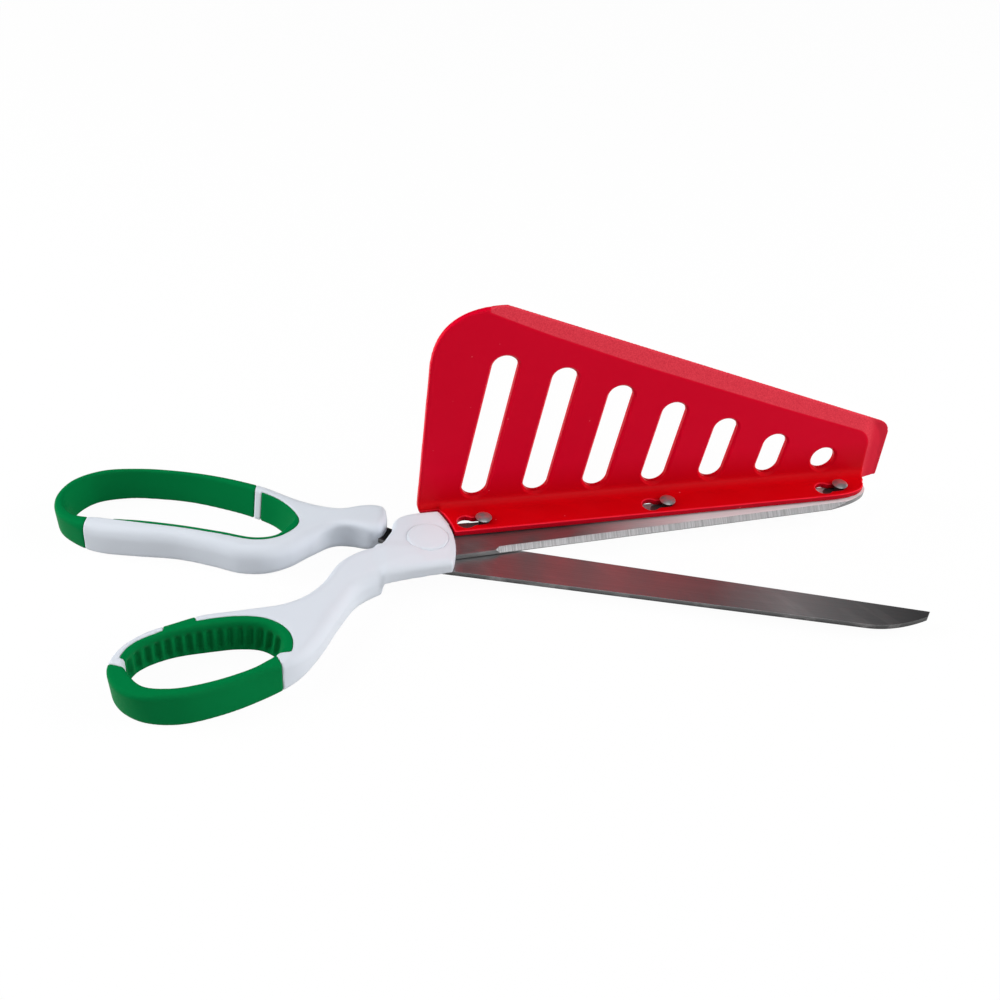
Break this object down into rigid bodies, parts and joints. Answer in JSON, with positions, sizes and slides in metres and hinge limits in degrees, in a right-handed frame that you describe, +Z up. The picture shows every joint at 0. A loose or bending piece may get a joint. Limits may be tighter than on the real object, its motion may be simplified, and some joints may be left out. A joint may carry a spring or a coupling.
{
  "type": "pizza scissors",
  "caption": "Long-bladed kitchen scissors with soft-covered loop handles and a slotted wedge-shaped serving spatula that clips onto the upper blade.",
  "frame": {"origin": "middle of the flat lower face of the pivot post, level with the undersides of the handles", "axes": "+Z up the pivot's axis, +X from the pivot to the tips along the line that halves the blades' opening, +Y towards the blade that carries the spatula"},
  "size_m": [0.2904, 0.1192, 0.0875],
  "materials": {
    "blade_steel": "brushed",
    "pivot_steel": "polished",
    "white_plastic": "satin",
    "green_grip": "soft matte",
    "red_plastic": "satin"
  },
  "bodies": {
    "finger_half": {"lower_blade": "blade_steel", "finger_handle_core": "white_plastic", "finger_outer_cover": "green_grip", "finger_inner_liner": "green_grip", "pivot_post": "pivot_steel", "pivot_screw": "pivot_steel", "pivot_washer": "pivot_steel"},
    "thumb_half": {"upper_blade": "blade_steel", "thumb_handle_core": "white_plastic", "thumb_outer_cover": "green_grip", "thumb_inner_liner": "green_grip", "spring_washer": "pivot_steel", "pivot_cap": "white_plastic", "spatula_stud_1": "pivot_steel", "spatula_stud_2": "pivot_steel", "spatula_stud_3": "pivot_steel"},
    "spatula": {"spatula": "red_plastic"}
  },
  "joints": [
    {"name": "pivot", "type": "hinge", "parent": "finger_half", "child": "thumb_half", "pos_m": [0, 0, 0.0055], "axis": [0, 0, 1], "range_deg": [-19.7, 28]},
    {"name": "spatula_slide", "type": "slide", "parent": "thumb_half", "child": "spatula", "axis": [0.9853, 0.1711, 0], "range_m": [0, 0.006]}
  ]
}
